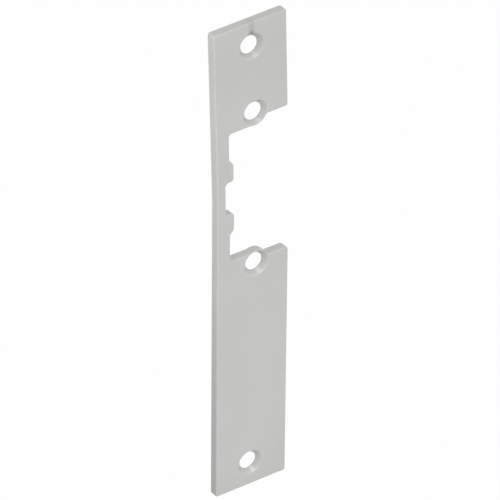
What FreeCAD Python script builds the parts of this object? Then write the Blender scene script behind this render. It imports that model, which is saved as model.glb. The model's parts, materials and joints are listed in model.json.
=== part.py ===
"""Short flat door strike plate for an electric or mechanical latch.

One stamped and lacquered steel plate, open at one long edge for the latch.

Frame: the origin is the centre of the lower end screw hole, halfway through
the plate. +X runs across the plate to its open edge, +Y runs from the front
face to the back face, and +Z runs up the plate. Lengths are in millimetres.
"""
import FreeCAD, Part
import math
import os

from FreeCAD import Vector

# Blank
LENGTH = 160.0
WIDTH = 25.0
THICKNESS = 3.0
EDGE_ROUNDING = 0.5          # both faces, left by tumbling and by the lacquer
CORNER_MARGIN = 0.1          # least radius of an outside corner, more than the edge rounding
END_CORNER_RADIUS = 0.8

# Screw holes, countersunk from both faces so that the plate fits either hand
SCREW_HOLE = 5.7
SCREW_HOLE_WALL = 0.2        # the cylinder that is left between the two cones
COUNTERSINK_ANGLE = 90.0
COUNTERSINK_RIM_RADIUS = 0.5
COUNTERSINK_OVERRUN = 1.0    # of the cutter past each face
END_HOLE_INSET = 8.0         # from each end of the plate
LOCK_HOLE_SPACING = 51.0     # the pair that holds the latch unit

# Where the holes sit, from the plate's middle line towards the open edge
LOCK_HOLE_OFFSET = 1.2
LOWER_END_HOLE_OFFSET = -0.25
UPPER_END_HOLE_OFFSET = 0.35

# Latch opening, stamped out of one long edge, midway between the lock holes
OPENING_BELOW_TOP = 56.0     # its centre line, from the plate's upper end
OPENING_CORNER_RADIUS = 1.0
OPENING_STEP = 2.25          # each side is this much wider at the open edge
LOWER_LIP_RADIUS = 1.4
UPPER_LIP_RADIUS = 0.8

# Ear round each lock hole, where the opening's edge passes too close to the hole
EAR_WALL = 0.1               # outside the mouth of the countersink
EAR_PROUD = 0.3              # of the opening's narrow part
EAR_BLEND_RADIUS = 0.8

# Web that joins the two limbs behind the opening, with its pair of tabs
NECK_WIDTH = 3.1             # between the tabs
WEB_THICKER = 1.55           # the web beyond the tabs, more than the neck
TAB_PROUD = 1.35             # the tabs, more than the web
TAB_GAP = 10.6               # between the square ends of the two tabs
TAB_LENGTH = 5.7             # to the start of its sloping end
TAB_SLOPE_LENGTH = 1.7
TAB_ROOT_RADIUS = 1.2
TAB_TIP_RADIUS = 1.2
TAB_SHOULDER_RADIUS = 1.2

# Set that the neck has taken: the upper limb leans towards the closed edge
NECK_SET = 1.8               # degrees, in the plane of the plate
NECK_STRAIGHT_END = 0.4      # unbent, from the bent stretch to each tab's root

# Worked out from the sizes above
HALF_SPACING = LOCK_HOLE_SPACING / 2
CONE_DEPTH = (THICKNESS - SCREW_HOLE_WALL) / 2
MOUTH_RADIUS = SCREW_HOLE / 2 + CONE_DEPTH * math.tan(math.radians(COUNTERSINK_ANGLE / 2))
EAR_RADIUS = MOUTH_RADIUS + EAR_WALL
NARROW_EDGE = HALF_SPACING - EAR_RADIUS + EAR_PROUD
WIDE_EDGE = NARROW_EDGE + OPENING_STEP
LOCK_HOLE_ACROSS = WIDTH / 2 + LOCK_HOLE_OFFSET
WEB_WIDTH = NECK_WIDTH + WEB_THICKER
TAB_REACH = WEB_WIDTH + TAB_PROUD
TAB_START = TAB_GAP / 2
TAB_SHOULDER = TAB_START + TAB_LENGTH
TAB_END = TAB_SHOULDER + TAB_SLOPE_LENGTH
NECK_BENT_LENGTH = TAB_GAP - 2 * (TAB_ROOT_RADIUS + NECK_STRAIGHT_END)
NECK_BEND_RADIUS = NECK_BENT_LENGTH / math.radians(NECK_SET)
NECK_BEND_CENTRE = Vector(-NECK_BEND_RADIUS, 0, -NECK_BENT_LENGTH / 2)
UPPER_LIMB = OPENING_BELOW_TOP
LOWER_LIMB = LENGTH - OPENING_BELOW_TOP


def corner_arc(before, corner, after, radius):
    """Start, middle and end of the arc that rounds the corner of a path."""
    towards = (before - corner).normalize()
    away = (after - corner).normalize()
    half_angle = towards.getAngle(away) / 2
    reach = radius / math.tan(half_angle)
    bisector = (towards + away).normalize()
    centre = corner + bisector * (radius / math.sin(half_angle))
    return corner + towards * reach, centre - bisector * radius, corner + away * reach


def outside_radius(radius):
    """Radius of an outside corner, which the edge rounding has to be able to follow."""
    return max(radius, EDGE_ROUNDING + CORNER_MARGIN)


def line(start, end):
    return Part.LineSegment(start, end).toShape()


def arc(start, middle, end):
    return Part.Arc(start, middle, end).toShape()


def rounded_path(corners):
    """Edges through (across, along, radius) corners, each rounded by its radius.

    The first and last points are the path's plain ends.
    """
    points = [Vector(across, 0, along) for across, along, _ in corners]
    edges = []
    pen = points[0]
    for index in range(1, len(corners) - 1):
        start, middle, end = corner_arc(
            points[index - 1], points[index], points[index + 1], corners[index][2])
        edges.append(line(pen, start))
        edges.append(arc(start, middle, end))
        pen = end
    edges.append(line(pen, points[-1]))
    return edges


def ear_blend(edge, side):
    """Arc from a straight edge of the opening into the ear round a lock hole.

    It touches the edge, which lies at that distance from the centre line, and the
    ear's circle. `side` is -1 on the web's side of the ear and +1 on the other.
    """
    ear = Vector(LOCK_HOLE_ACROSS, 0, HALF_SPACING)
    drop = ear.z - edge + EAR_BLEND_RADIUS
    reach = math.sqrt((EAR_RADIUS + EAR_BLEND_RADIUS) ** 2 - drop ** 2)
    centre = Vector(ear.x + side * reach, 0, edge - EAR_BLEND_RADIUS)
    on_edge = Vector(centre.x, 0, edge)
    on_ear = ear + (centre - ear).normalize() * EAR_RADIUS
    outwards = ((on_edge - centre) + (on_ear - centre)).normalize()
    return on_edge, centre + outwards * EAR_BLEND_RADIUS, on_ear


def limb_outline(length, lip_radius):
    """Outline of one limb, from the neck's end round the opening and the limb's end.

    The second coordinate is the distance from the opening's centre line, so both
    limbs have the same half of the opening, and differ in length and lip.
    """
    neck_end = NECK_BENT_LENGTH / 2
    narrow_end, narrow_middle, ear_start = ear_blend(NARROW_EDGE, -1)
    wide_end, wide_middle, ear_end = ear_blend(WIDE_EDGE, +1)
    ear_middle = Vector(LOCK_HOLE_ACROSS, 0, HALF_SPACING - EAR_RADIUS)
    web_side = rounded_path([
        (NECK_WIDTH, neck_end, 0),
        (NECK_WIDTH, TAB_START, TAB_ROOT_RADIUS),
        (TAB_REACH, TAB_START, outside_radius(TAB_TIP_RADIUS)),
        (TAB_REACH, TAB_SHOULDER, TAB_SHOULDER_RADIUS),
        (WEB_WIDTH, TAB_END, TAB_SHOULDER_RADIUS),
        (WEB_WIDTH, NARROW_EDGE, OPENING_CORNER_RADIUS),
        (narrow_end.x, NARROW_EDGE, 0),
    ])
    ear = [
        arc(narrow_end, narrow_middle, ear_start),
        arc(ear_start, ear_middle, ear_end),
        arc(ear_end, wide_middle, wide_end),
    ]
    limb_side = rounded_path([
        (wide_end.x, WIDE_EDGE, 0),
        (WIDTH, WIDE_EDGE, outside_radius(lip_radius)),
        (WIDTH, length, outside_radius(END_CORNER_RADIUS)),
        (0, length, outside_radius(END_CORNER_RADIUS)),
        (0, neck_end, 0),
    ])
    return web_side + ear + limb_side


def lean(shape):
    """Carry a piece of the upper limb round by the set that the neck has taken."""
    leaning = shape.copy()
    leaning.translate(Vector(0, 0, -NECK_BENT_LENGTH))
    leaning.rotate(NECK_BEND_CENTRE, Vector(0, -1, 0), NECK_SET)
    return leaning


def neck_side(across):
    """One side of the bent neck: an arc about the centre of the bend."""
    start = Vector(across, 0, -NECK_BENT_LENGTH / 2)
    arm = start - NECK_BEND_CENTRE
    half_turn = FreeCAD.Rotation(Vector(0, -1, 0), NECK_SET / 2)
    middle = NECK_BEND_CENTRE + half_turn.multVec(arm)
    end = NECK_BEND_CENTRE + half_turn.multVec(half_turn.multVec(arm))
    return arc(start, middle, end)


def blank():
    """Stamped outline given the plate's thickness, with both faces' edges rounded."""
    lower_limb = [edge.mirror(Vector(), Vector(0, 0, 1))
                  for edge in limb_outline(LOWER_LIMB, LOWER_LIP_RADIUS)]
    upper_limb = [lean(edge) for edge in limb_outline(UPPER_LIMB, UPPER_LIP_RADIUS)]
    neck = [neck_side(0), neck_side(NECK_WIDTH)]
    outline = Part.Wire(Part.__sortEdges__(lower_limb + neck + upper_limb))
    face = Part.Face(outline)
    face.translate(Vector(0, -THICKNESS / 2, 0))
    plate = face.extrude(Vector(0, THICKNESS, 0))
    tolerance = 1e-6
    rims = [edge for edge in plate.Edges
            if abs(abs(edge.CenterOfMass.y) - THICKNESS / 2) < tolerance]
    return plate.makeFillet(EDGE_ROUNDING, rims)


def screw_hole(across, along):
    """Cutter for one hole: a short cylinder that opens into a cone at each face.

    Its half section is drawn in (radius, depth) and turned about the hole's axis.
    """
    wall_radius = SCREW_HOLE / 2
    wall_end = SCREW_HOLE_WALL / 2
    face = THICKNESS / 2
    beyond = face + COUNTERSINK_OVERRUN
    cone_start = Vector(wall_radius, wall_end, 0)
    rim_start, rim_middle, rim_end = corner_arc(
        cone_start, Vector(MOUTH_RADIUS, face, 0), Vector(2 * MOUTH_RADIUS, face, 0),
        COUNTERSINK_RIM_RADIUS)
    front_half = [
        line(Vector(wall_radius, 0, 0), cone_start),
        line(cone_start, rim_start),
        arc(rim_start, rim_middle, rim_end),
        line(rim_end, Vector(rim_end.x, beyond, 0)),
        line(Vector(rim_end.x, beyond, 0), Vector(0, beyond, 0)),
        line(Vector(0, beyond, 0), Vector()),
    ]
    back_half = [edge.mirror(Vector(), Vector(0, 1, 0)) for edge in front_half]
    section = Part.Face(Part.Wire(Part.__sortEdges__(front_half + back_half)))
    cutter = section.revolve(Vector(), Vector(0, 1, 0), 360)
    cutter.translate(Vector(across, 0, along))
    return cutter


def strike_plate():
    """The finished plate, moved so that its lower end hole is at the origin."""
    lower_end_across = WIDTH / 2 + LOWER_END_HOLE_OFFSET
    upper_end_across = WIDTH / 2 + UPPER_END_HOLE_OFFSET
    holes = [
        screw_hole(lower_end_across, END_HOLE_INSET - LOWER_LIMB),
        screw_hole(LOCK_HOLE_ACROSS, -HALF_SPACING),
        lean(screw_hole(LOCK_HOLE_ACROSS, HALF_SPACING)),
        lean(screw_hole(upper_end_across, UPPER_LIMB - END_HOLE_INSET)),
    ]
    plate = blank()
    for hole in holes:
        plate = plate.cut(hole)
    plate.translate(Vector(-lower_end_across, 0, LOWER_LIMB - END_HOLE_INSET))
    return plate.Solids[0]


os.makedirs("parts", exist_ok=True)
plate = strike_plate()
print("strike plate: valid", plate.isValid(), "volume mm3", round(plate.Volume, 1),
      "box", plate.BoundBox)
plate.exportStep("parts/strike_plate.step")
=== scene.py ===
# %% [markdown]
# A lacquered door strike plate
#
# The object is one flat steel plate, 160 mm long and 3 mm thick, stamped out round its latch opening,
# countersunk from both faces and coated with a satin grey lacquer. Its exact solid comes packed, so
# this lesson is about everything that makes bare geometry look like the real plate: where the camera
# stands, how the light falls, and what a coat of lacquer does on faces, edges, cut walls and cones.

import json
import math

import bpy
import numpy as np
from mathutils import Matrix, Vector


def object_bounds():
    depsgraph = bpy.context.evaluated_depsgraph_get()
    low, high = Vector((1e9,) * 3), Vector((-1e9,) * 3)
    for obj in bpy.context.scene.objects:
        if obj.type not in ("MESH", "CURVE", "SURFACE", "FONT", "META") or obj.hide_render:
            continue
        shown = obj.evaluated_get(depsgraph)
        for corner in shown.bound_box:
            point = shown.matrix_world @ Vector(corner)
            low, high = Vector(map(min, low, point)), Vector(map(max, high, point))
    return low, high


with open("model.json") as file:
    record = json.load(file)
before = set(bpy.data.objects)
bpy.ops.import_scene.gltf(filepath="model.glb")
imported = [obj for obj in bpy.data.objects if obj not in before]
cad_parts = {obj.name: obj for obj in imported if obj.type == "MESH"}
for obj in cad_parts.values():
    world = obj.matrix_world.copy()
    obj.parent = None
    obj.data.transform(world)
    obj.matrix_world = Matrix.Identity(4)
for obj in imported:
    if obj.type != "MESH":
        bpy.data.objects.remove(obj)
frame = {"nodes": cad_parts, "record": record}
cad_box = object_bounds()
plate = frame["nodes"]["strike_plate"]
MM = 0.001
print("plate box in mm:", [[round(v / MM, 2) for v in corner] for corner in cad_box])

# %% [markdown]
# Places on the plate
#
# The marks in the lacquer sit at real places, such as round each screw hole. These places could be
# typed in again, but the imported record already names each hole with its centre, so they are read
# from it. A change to the solid then carries the marks along.

# %% Read the holes and the front face
mounts = {mount["name"]: mount for mount in frame["record"]["mounts"]}
hole_names = [name for name in sorted(mounts) if name.endswith("_hole")]
hole_centres = {name: Vector(mounts[name]["pos_m"]) for name in hole_names}
front_face = cad_box[0].y
print("holes in mm:", {name: [round(v / MM, 1) for v in hole_centres[name]] for name in hole_names})

# %% [markdown]
# The camera
#
# A product photographer stands well back with a long lens, so that the plate's long sides stay almost
# parallel. The camera is placed the same way: an aim point on the front face, two angles, a distance
# and a small roll, the tilt of the camera about its own line of sight. An object that tracks the aim
# would also work, but a matrix built from the three camera directions shows what the angles mean.

# %% Place the camera
def direction(azimuth, elevation):
    """Unit vector towards a place seen from the plate: degrees to the right of its front, degrees up."""
    turn, rise = math.radians(azimuth), math.radians(elevation)
    return Vector((math.sin(turn) * math.cos(rise), -math.cos(turn) * math.cos(rise), math.sin(rise)))


AZIMUTH = -35.15
ELEVATION = 33.91
ROLL = math.radians(0.533)
AIM = Vector((-0.80, -1.5, 75.92)) * MM
DISTANCE = 1401.5 * MM
LENS_PIXELS = 4883.0  # distance from lens to picture, counted in the picture's own pixels
IMAGE_PIXELS = 500
SENSOR = 36.0
FARTHEST_SEEN = 20.0

towards_camera = direction(AZIMUTH, ELEVATION)
level_right = -direction(AZIMUTH - 90, 0)
level_up = towards_camera.cross(level_right)
right = level_right * math.cos(ROLL) + level_up * math.sin(ROLL)
up = level_up * math.cos(ROLL) - level_right * math.sin(ROLL)

camera_data = bpy.data.cameras.new("camera")
camera_data.sensor_width = SENSOR
camera_data.lens = LENS_PIXELS / IMAGE_PIXELS * SENSOR
camera_data.clip_end = FARTHEST_SEEN
camera = bpy.data.objects.new("camera", camera_data)
turn = Matrix((right, up, towards_camera)).transposed()
camera.matrix_world = Matrix.Translation(AIM + towards_camera * DISTANCE) @ turn.to_4x4()
bpy.context.scene.collection.objects.link(camera)
bpy.context.scene.camera = camera
print("camera lens in mm:", round(camera_data.lens, 1), "right side:", [round(v, 3) for v in right])

# %% [markdown]
# Building node trees in code
#
# Every effect below is a small network of shader nodes, which could also be wired by hand in the
# shader editor. Code is easier to read back and to change. The first helper adds a node with its
# settings and its inputs, which may be plain values or sockets of other nodes. The others use it for
# the few steps that come up again and again.

# %% Helpers for nodes
def add_node(tree, kind, inputs=None, **settings):
    """Add a node; `inputs` maps a socket's name or number to a value or to another node's output."""
    node = tree.nodes.new("ShaderNode" + kind)
    for name, value in settings.items():
        setattr(node, name, value)
    for key, value in (inputs or {}).items():
        if isinstance(value, bpy.types.NodeSocket):
            tree.links.new(value, node.inputs[key])
        else:
            node.inputs[key].default_value = value
    return node


def maths(tree, operation, *values):
    """One Math node on up to three values or sockets; returns its output."""
    return add_node(tree, "Math", dict(enumerate(values)), operation=operation).outputs[0]


def product(tree, *values):
    """Values or sockets multiplied together; returns the last output."""
    result = values[0]
    for value in values[1:]:
        result = maths(tree, "MULTIPLY", result, value)
    return result


def total(tree, values):
    """Values or sockets added up; returns the last output."""
    result = values[0]
    for value in values[1:]:
        result = maths(tree, "ADD", result, value)
    return result


def vector_maths(tree, operation, *values):
    """One Vector Math node; returns its vector output."""
    return add_node(tree, "VectorMath", dict(enumerate(values)), operation=operation).outputs["Vector"]


def length(tree, vector):
    """Length of a vector; returns its output."""
    return add_node(tree, "VectorMath", {0: vector}, operation="LENGTH").outputs["Value"]


def ramp(tree, value, low, high, to_low=0.0, to_high=1.0):
    """Value carried smoothly from the range low..high to to_low..to_high; returns its output."""
    node = add_node(tree, "MapRange", {
        "Value": value, "From Min": low, "From Max": high, "To Min": to_low, "To Max": to_high,
    }, interpolation_type="SMOOTHSTEP")
    return node.outputs["Result"]


def noise(tree, place, width, detail):
    """Noise from 0 to 1 whose features have one width; returns its output."""
    scale = maths(tree, "DIVIDE", 1.0, width)
    return add_node(tree, "TexNoise", {"Vector": place, "Scale": scale, "Detail": detail}).outputs["Fac"]


# %% [markdown]
# Node groups
#
# An effect could be wired straight into a material, but a group keeps it in one place, with named
# inputs and outputs. It is built once, and each material that uses it gives it values of its own. The
# two helpers make its sockets: the inputs when it is started, each with the value that it has unless
# a material says otherwise, and the outputs when it is finished.

# %% Helpers for node groups
def start_group(name, inputs):
    """New node group; inputs are (name, socket kind, value)."""
    group = bpy.data.node_groups.new(name, "ShaderNodeTree")
    for socket_name, kind, value in inputs:
        socket = group.interface.new_socket(socket_name, in_out="INPUT", socket_type="NodeSocket" + kind)
        socket.default_value = value
    return group, group.nodes.new("NodeGroupInput").outputs


def finish_group(group, masks):
    """Give the group one output for each named mask or height, and print what it holds."""
    for name in masks:
        group.interface.new_socket(name, in_out="OUTPUT", socket_type="NodeSocketFloat")
    outputs = group.nodes.new("NodeGroupOutput").inputs
    for name, mask in masks.items():
        group.links.new(mask, outputs[name])
    print("group", group.name, "has", len(group.nodes), "nodes and gives", list(masks))
    return group


# %% [markdown]
# Lacquer film
#
# Sprayed lacquer never lies dead flat. It keeps a soft orange-peel ripple about a millimetre wide and
# a few thousandths high, with a much finer grain on top, and its tone drifts slightly over the plate.
# An image of a real coat could carry this, but noise in object coordinates has no seams, follows the
# plate at true scale and stays sharp from any distance. The group puts out a height for a Bump node,
# a slow cloudiness for the colour and a fine mottle for the roughness. A shift slides the clouds
# over the plate, so that the darker tone lies at the upper right.

# %% Group: lacquer film
def lacquer_film_group():
    """Height = peel + grain, each a noise times its own depth in metres; mottle = their mean."""
    group, given = start_group("lacquer_film", [
        ("Vector", "Vector", (0, 0, 0)),
        ("Peel Width", "Float", 1.1 * MM),
        ("Peel Depth", "Float", 0.004 * MM),
        ("Grain Width", "Float", 0.16 * MM),
        ("Grain Depth", "Float", 0.0006 * MM),
        ("Cloud Width", "Float", 38 * MM),
        ("Cloud Shift", "Vector", (0, 0, 0)),
    ])
    place = given["Vector"]
    shifted = vector_maths(group, "ADD", place, given["Cloud Shift"])
    peel = noise(group, place, given["Peel Width"], 1.0)
    grain = noise(group, place, given["Grain Width"], 2.0)
    peel_height = product(group, peel, given["Peel Depth"])
    grain_height = product(group, grain, given["Grain Depth"])
    return finish_group(group, {
        "Height": total(group, [peel_height, grain_height]),
        "Clouds": noise(group, shifted, given["Cloud Width"], 2.0),
        "Mottle": product(group, total(group, [peel, grain]), 0.5),
    })


lacquer_film = lacquer_film_group()

# %% [markdown]
# Where the surface is
#
# The plate has four kinds of surface: flat faces, rounded edges, stamped walls and cones. Masks for
# them could be painted by hand, but the surface's own direction already tells them apart. On a face
# the normal runs along Y, on a wall it lies across Y, and on a rounded edge it turns from one to the
# other. A cone's normal stands at 45 degrees, so it is told from an edge by its distance to the hole.
# One mask carries a painted shade, which makes the rounded edges darker, and another a painted
# highlight, a lighter band beside them, where the edge runs out into the face.

# %% Group: kinds of surface
WALL_ENDS = (0.05, 0.35)  # shares of the normal along Y
# Where the painted highlight beside each edge rises and falls, as shares of the normal along Y
HIGHLIGHT_BAND_STARTS = (0.80, 0.92)
HIGHLIGHT_BAND_ENDS = (0.965, 0.999)


def surface_kinds_group():
    """Masks from the share s of the normal along Y, 0 on walls and 1 on faces; edge = 4 s^2 (1 - s^2)."""
    group, _ = start_group("surface_kinds", [])
    normal = add_node(group, "NewGeometry").outputs["Normal"]
    along_y = add_node(group, "SeparateXYZ", {0: normal}).outputs["Y"]
    share = maths(group, "ABSOLUTE", along_y)
    squared = product(group, share, share)
    highlight_band_starts = ramp(group, share, *HIGHLIGHT_BAND_STARTS)
    highlight_band_ends = ramp(group, share, *HIGHLIGHT_BAND_ENDS, 1.0, 0.0)
    return finish_group(group, {
        "Wall": ramp(group, share, *WALL_ENDS, 1.0, 0.0),
        "Edge": product(group, squared, maths(group, "SUBTRACT", 1.0, squared), 4.0),
        "Beside Edge": product(group, highlight_band_starts, highlight_band_ends),
    })


surface_kinds = surface_kinds_group()

# %% [markdown]
# Stamped walls
#
# A punch shears the steel and leaves fine lines across the thickness, and the film fills most of
# their depth. They could be single scratches, but a noise does it in one node: it is stretched along
# Y until only its change along the outline is left.

# %% Group: stamped walls
PRESSED_ALONG_Y = (1.0, 0.06, 1.0)


def shear_lines_group():
    """Height of the lines that the punch left: noise with its Y coordinate pressed almost flat."""
    group, given = start_group("shear_lines", [
        ("Vector", "Vector", (0, 0, 0)),
        ("Width", "Float", 0.35 * MM),
        ("Depth", "Float", 0.006 * MM),
    ])
    pressed = add_node(group, "Mapping", {"Vector": given["Vector"], "Scale": PRESSED_ALONG_Y})
    lines = noise(group, pressed.outputs["Vector"], given["Width"], 2.0)
    return finish_group(group, {"Height": product(group, lines, given["Depth"])})


shear_lines = shear_lines_group()

# %% [markdown]
# Screw holes
#
# A countersinking tool leaves rings round each hole. They could be modelled, but at a thousandth of
# a millimetre they only catch the light, so they are a sine of the distance from the hole's axis. The
# same distance tells whether a point lies inside the mouth, and how deep, because a cone narrows
# evenly from its mouth to its waist.

# %% Group: one screw hole
ACROSS_THE_AXIS = (1.0, 0.0, 1.0)


def screw_hole_group():
    """Inside = 1 within the mouth, Deep = 1 at the waist and 0 at the mouth, Height = rings inside."""
    group, given = start_group("screw_hole", [
        ("Vector", "Vector", (0, 0, 0)),
        ("Centre", "Vector", (0, 0, 0)),
        ("Mouth Radius", "Float", 4.25 * MM),
        ("Waist Radius", "Float", 2.85 * MM),
        ("Ring Pitch", "Float", 0.22 * MM),
        ("Ring Depth", "Float", 0.0012 * MM),
    ])
    offset = vector_maths(group, "SUBTRACT", given["Vector"], given["Centre"])
    distance = length(group, vector_maths(group, "MULTIPLY", offset, ACROSS_THE_AXIS))
    inside = maths(group, "LESS_THAN", distance, given["Mouth Radius"])
    turns = maths(group, "DIVIDE", distance, given["Ring Pitch"])
    wave = maths(group, "SINE", product(group, turns, 2 * math.pi))
    return finish_group(group, {
        "Inside": inside,
        "Deep": ramp(group, distance, given["Waist Radius"], given["Mouth Radius"], 1.0, 0.0),
        "Height": product(group, wave, given["Ring Depth"], inside),
    })


screw_hole = screw_hole_group()

# %% [markdown]
# The hook mark
#
# The plate hung on a hook through its top hole while it was sprayed. The hook kept some of the spray
# off, and a darker streak is left from the hole over the face to the plate's end. It is darkest on the
# hole's rim, where the hook touched it, goes a little way down the cone and fades over the end. A
# painted image could hold such a mark, but a few curves of the distance across and up are enough: a
# bell across the streak, a second bell at the rim, and smooth steps where it starts and ends.

# %% Group: hook mark
MARK_STARTS = (1.5 * MM, 3.0 * MM)  # heights above the hole's centre
MARK_FADES = (0.05 * MM, 0.5 * MM)  # distances below the plate's end
MARK_LEFT_ON_END = 0.45
MARK_STOPS = (1.6 * MM, 2.6 * MM)  # depths behind the front face
TOUCH_WIDTH = 0.7 * MM
CONE_REACH = 0.3  # a distance down the cone counts this much beside one on the face


def hook_mark_group():
    """Mask = bell across * (streak + bell at the rim) * steps at the hole, the plate's end and the back."""
    group, given = start_group("hook_mark", [
        ("Vector", "Vector", (0, 0, 0)),
        ("Centre", "Vector", (0, 0, 0)),
        ("Half Width", "Float", 0.95 * MM),
        ("Rim Radius", "Float", 4.4 * MM),
        ("End Height", "Float", 8.0 * MM),
        ("Streak", "Float", 0.36),
    ])

    def bell(distance, width):
        share = maths(group, "DIVIDE", distance, width)
        return maths(group, "EXPONENT", product(group, share, share, -1.0))

    offset = vector_maths(group, "SUBTRACT", given["Vector"], given["Centre"])
    across, depth, height = add_node(group, "SeparateXYZ", {0: offset}).outputs
    radius = length(group, add_node(group, "CombineXYZ", {"X": across, "Z": height}).outputs[0])
    past_rim = maths(group, "SUBTRACT", radius, given["Rim Radius"])
    from_rim = maths(group, "MAXIMUM", past_rim, product(group, past_rim, -CONE_REACH))
    rest = maths(group, "SUBTRACT", 1.0, given["Streak"])
    below_end = maths(group, "SUBTRACT", given["End Height"], height)
    return finish_group(group, {"Mask": product(
        group,
        bell(across, given["Half Width"]),
        maths(group, "MULTIPLY_ADD", bell(from_rim, TOUCH_WIDTH), rest, given["Streak"]),
        ramp(group, height, *MARK_STARTS),
        ramp(group, below_end, *MARK_FADES, MARK_LEFT_ON_END, 1.0),
        ramp(group, depth, *MARK_STOPS, 1.0, 0.0),
    )})


hook_mark = hook_mark_group()

# %% [markdown]
# The lacquered steel
#
# The film is a light satin grey that drifts between a cooler and a warmer tone over a few
# centimetres. Painted shade makes it darker on the rounded edges and deep in the holes, and a painted
# highlight makes it lighter in a band beside the edges. The shader is a Principled BSDF: the groups change
# its colour, roughness and normal over the surface, while numbers that are the same everywhere sit on
# the shader's own sockets. The heights of film, shear lines and rings are added up and feed one Bump
# node, whose distance of one metre keeps them in true size.

# %% Values of the grey lacquer
COOL_GREY = (0.556, 0.554, 0.546, 1.0)
WARM_GREY = (0.525, 0.522, 0.499, 1.0)
CLOUD_SHIFT = Vector((0.2, 0.0, 0.0))
CLOUD_RANGE = (0.3, 0.7)
# The edge and hole tints below are painted shade, and the tint beside the edges a painted highlight
EDGE_PAINTED_SHADE = -0.09
PAINTED_HIGHLIGHT_TINT = 0.09
HOLE_PAINTED_SHADE = -0.08
HOOK_TINT = -0.55
SMOOTHEST = 0.20
ROUGHER_BY = 0.06
LACQUER_IOR = 1.5
top_hole = hole_centres["upper_end_hole"]
hook_place = Vector((top_hole.x - 0.05 * MM, front_face, top_hole.z))
print("hook mark from, in mm:", [round(v / MM, 2) for v in hook_place])


# %% Material: grey lacquer
def tint(tree, colour, factor, strength):
    """Colour multiplied by 1 + strength * factor; returns its output."""
    gain = maths(tree, "MULTIPLY_ADD", factor, strength, 1.0)
    return add_node(tree, "VectorMath", {0: colour, "Scale": gain}, operation="SCALE").outputs[0]


def new_material(name):
    """Material with an empty node tree; returns both."""
    material = bpy.data.materials.new(name)
    material.use_nodes = True
    material.node_tree.nodes.clear()
    return material, material.node_tree


def grey_lacquer():
    """Satin grey finish: two drifting tones, with painted shade on the edges and deep in the holes, a
    painted highlight beside the edges, and the hook mark.
    """
    material, tree = new_material("grey_lacquer_finish")
    place = add_node(tree, "TexCoord").outputs["Object"]

    def use(group, inputs):
        return add_node(tree, "Group", inputs, node_tree=group).outputs

    film = use(lacquer_film, {"Vector": place, "Cloud Shift": CLOUD_SHIFT})
    kinds = use(surface_kinds, {})
    shear = use(shear_lines, {"Vector": place})
    hook = use(hook_mark, {"Vector": place, "Centre": hook_place})
    holes = [use(screw_hole, {"Vector": place, "Centre": hole_centres[name]}) for name in hole_names]
    inside = total(tree, [hole["Inside"] for hole in holes])
    deep = total(tree, [hole["Deep"] for hole in holes])
    rings = total(tree, [hole["Height"] for hole in holes])
    outside = maths(tree, "SUBTRACT", 1.0, inside)

    drift = ramp(tree, film["Clouds"], *CLOUD_RANGE)
    tones = add_node(tree, "Mix", {"Factor": drift, 6: COOL_GREY, 7: WARM_GREY}, data_type="RGBA")
    # Painted shade: the rounded edges outside the holes are made darker
    colour = tint(tree, tones.outputs[2], product(tree, kinds["Edge"], outside), EDGE_PAINTED_SHADE)
    # Painted highlight: a lighter band beside each rounded edge
    colour = tint(tree, colour, product(tree, kinds["Beside Edge"], outside), PAINTED_HIGHLIGHT_TINT)
    # Painted shade: darker deep in the holes, towards the waist
    colour = tint(tree, colour, deep, HOLE_PAINTED_SHADE)
    colour = tint(tree, colour, hook["Mask"], HOOK_TINT)

    lines = product(tree, shear["Height"], kinds["Wall"])
    height = total(tree, [film["Height"], lines, rings])
    bump = add_node(tree, "Bump", {"Height": height, "Strength": 1.0, "Distance": 1.0})
    shader = add_node(tree, "BsdfPrincipled", {
        "Base Color": colour,
        "Roughness": maths(tree, "MULTIPLY_ADD", film["Mottle"], ROUGHER_BY, SMOOTHEST),
        "Normal": bump.outputs["Normal"],
        "Metallic": 0.0,
        "IOR": LACQUER_IOR,
    })
    add_node(tree, "OutputMaterial", {"Surface": shader.outputs[0]})
    print("material", material.name, "has", len(tree.nodes), "nodes")
    return material


lacquer = grey_lacquer()
for slot in plate.material_slots:
    slot.material = lacquer

# %% [markdown]
# Floor and backdrop
#
# The plate is shown against plain white, as a catalogue shows it. A white floor could be lit until it
# clips, but that light would also bleach the plate. The floor here is a pale matt surface, and for
# the camera most of it is replaced by plain white, which leaves a trace of the plate's soft shadow.
# Gloss and glass are shown the same white, and the room further down is made in the same way. The
# floor lies well below the plate, which is made to be screwed up and has no stand of its own.

# %% Make the floor
FLOOR_BELOW = 600 * MM
FLOOR_HALF_SIZE = 5.0
FLOOR_WHITE_SHARE = 0.985
FLOOR_GREY = (0.55, 0.55, 0.55, 1)
WHITE = (1, 1, 1, 1)


def seen_or_mirrored(tree):
    """1 for rays that look at a surface, from the camera or by way of gloss or glass, and 0 for light."""
    path = add_node(tree, "LightPath").outputs
    mirrored = maths(tree, "MAXIMUM", path["Is Glossy Ray"], path["Is Transmission Ray"])
    return maths(tree, "MAXIMUM", path["Is Camera Ray"], mirrored)


def flat_square(name, half_size, height):
    """Square grid of one cell at one height, its corners from a pair of -1..1 parameters."""
    u, v = np.meshgrid([-1.0, 1.0], [-1.0, 1.0])
    corners = np.stack([u * half_size, v * half_size, np.full_like(u, height)], axis=-1).reshape(-1, 3)
    mesh = bpy.data.meshes.new(name)
    mesh.from_pydata(corners.tolist(), [], [(0, 1, 3, 2)])
    made = bpy.data.objects.new(name, mesh)
    bpy.context.scene.collection.objects.link(made)
    return made


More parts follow.
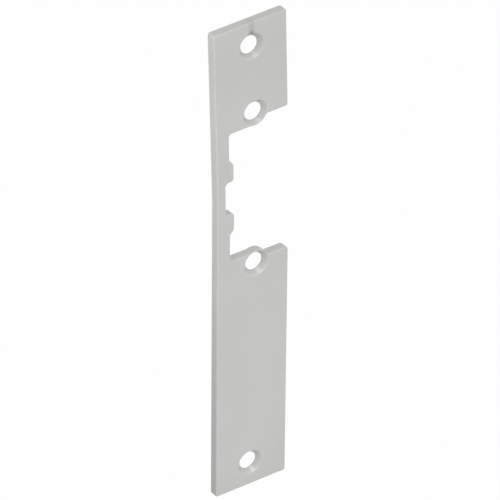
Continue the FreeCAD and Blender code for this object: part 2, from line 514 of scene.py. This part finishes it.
def floor_finish():
    """Matt grey for light, and a share of plain white for what looks at the floor."""
    material, tree = new_material("pale_floor")
    matt = add_node(tree, "BsdfDiffuse", {"Color": FLOOR_GREY})
    white = add_node(tree, "Emission", {"Color": WHITE, "Strength": 1.0})
    share = product(tree, seen_or_mirrored(tree), FLOOR_WHITE_SHARE)
    mixed = add_node(tree, "MixShader", {0: share, 1: matt.outputs[0], 2: white.outputs[0]})
    add_node(tree, "OutputMaterial", {"Surface": mixed.outputs[0]})
    return material


floor = flat_square("floor", FLOOR_HALF_SIZE, cad_box[0].z - FLOOR_BELOW)
floor.data.materials.append(floor_finish())
print("floor below the plate in mm:", round(FLOOR_BELOW / MM))

# %% [markdown]
# Lamps and room
#
# A catalogue photo is lit by a few soft boxes and by the white walls of the room. Lamps could be set
# by eye in watts, but the power that a lamp needs grows with the square of its distance. The helpers
# work the power out from a level: a lamp of level 1 lights a white surface that faces it to plain
# white. So the levels add up, and a lamp that is moved back keeps its level.

# %% Helpers for lamps
def hang(lamp, place, aim):
    """Put a lamp at a place with its beam, which runs along its own -Z, towards the aim point."""
    turn = (aim - place).to_track_quat("-Z", "Y").to_matrix().to_4x4()
    lamp.matrix_world = Matrix.Translation(place) @ turn
    bpy.context.scene.collection.objects.link(lamp)


def soft_box(name, azimuth, elevation, distance, size, level):
    """Square lamp; power = level * pi^2 * distance^2, because light spreads with the distance squared."""
    lamp_data = bpy.data.lights.new(name, "AREA")
    lamp_data.shape = "SQUARE"
    lamp_data.size = size
    lamp_data.energy = level * math.pi ** 2 * distance ** 2
    lamp = bpy.data.objects.new(name, lamp_data)
    hang(lamp, AIM + direction(azimuth, elevation) * distance, AIM)


def soft_spot(name, place, aim, reach, radius, level):
    """Round lamp; its beam fades evenly to `reach` beside the aim, power = level * (2 pi distance)^2."""
    distance = (aim - place).length
    lamp_data = bpy.data.lights.new(name, "SPOT")
    lamp_data.energy = level * (2 * math.pi) ** 2 * distance ** 2
    lamp_data.spot_size = 2 * math.atan(reach / distance)
    lamp_data.spot_blend = 1.0
    lamp_data.shadow_soft_size = radius
    lamp = bpy.data.objects.new(name, lamp_data)
    hang(lamp, place, aim)


# %% Helper for the room
def white_room(level):
    """World that lights matt surfaces at `level` and shows as plain white."""
    world = bpy.data.worlds.new("white_room")
    bpy.context.scene.world = world
    world.use_nodes = True
    tree = world.node_tree
    tree.nodes.clear()
    strength = ramp(tree, seen_or_mirrored(tree), 0.0, 1.0, level, 1.0)
    background = add_node(tree, "Background", {"Color": WHITE, "Strength": strength})
    add_node(tree, "OutputWorld", {"Surface": background.outputs[0]})


# %% [markdown]
# The light
#
# The real plate's face is even, so much of its light comes from a wide soft box in front. Two small
# boxes near it draw the narrow crescents in the countersinks, whose lower right sides mirror them, and
# a card low in front gives the left edge a faint highlight. One box overhead lights the walls that
# look up. The thin left side is bright in its upper half and fades below the middle, so besides an
# even fill it has a round lamp of its own, whose beam fades towards its rim. The box behind the plate
# lights its back. The room's even light does the rest.

# %% Light the plate
FAR = 2.6
NEAR = 0.8
SIDE_LAMP_AIM = Vector((cad_box[0].x, 0.0, 0.150))

soft_box("key", azimuth=-8, elevation=26, distance=FAR, size=0.36, level=0.20)
soft_box("high_key", azimuth=2, elevation=40, distance=FAR, size=0.45, level=0.12)
soft_box("front_fill", azimuth=5, elevation=28, distance=FAR, size=1.8, level=0.192)
soft_box("low_card", azimuth=5, elevation=-34, distance=NEAR, size=0.18, level=0.05)
soft_box("top_light", azimuth=25, elevation=80, distance=FAR, size=1.5, level=0.172)
soft_box("left_fill", azimuth=-72, elevation=5, distance=NEAR, size=0.3, level=0.143)
soft_box("back_fill", azimuth=180, elevation=-4, distance=FAR, size=0.4, level=0.24)
soft_spot("side_lamp", place=Vector((-0.5, 0.02, 0.17)), aim=SIDE_LAMP_AIM,
          reach=138 * MM, radius=40 * MM, level=0.34)
white_room(level=0.44)
bpy.context.scene.view_settings.view_transform = "Standard"
print("lamps:", sorted(lamp.name for lamp in bpy.data.lights))
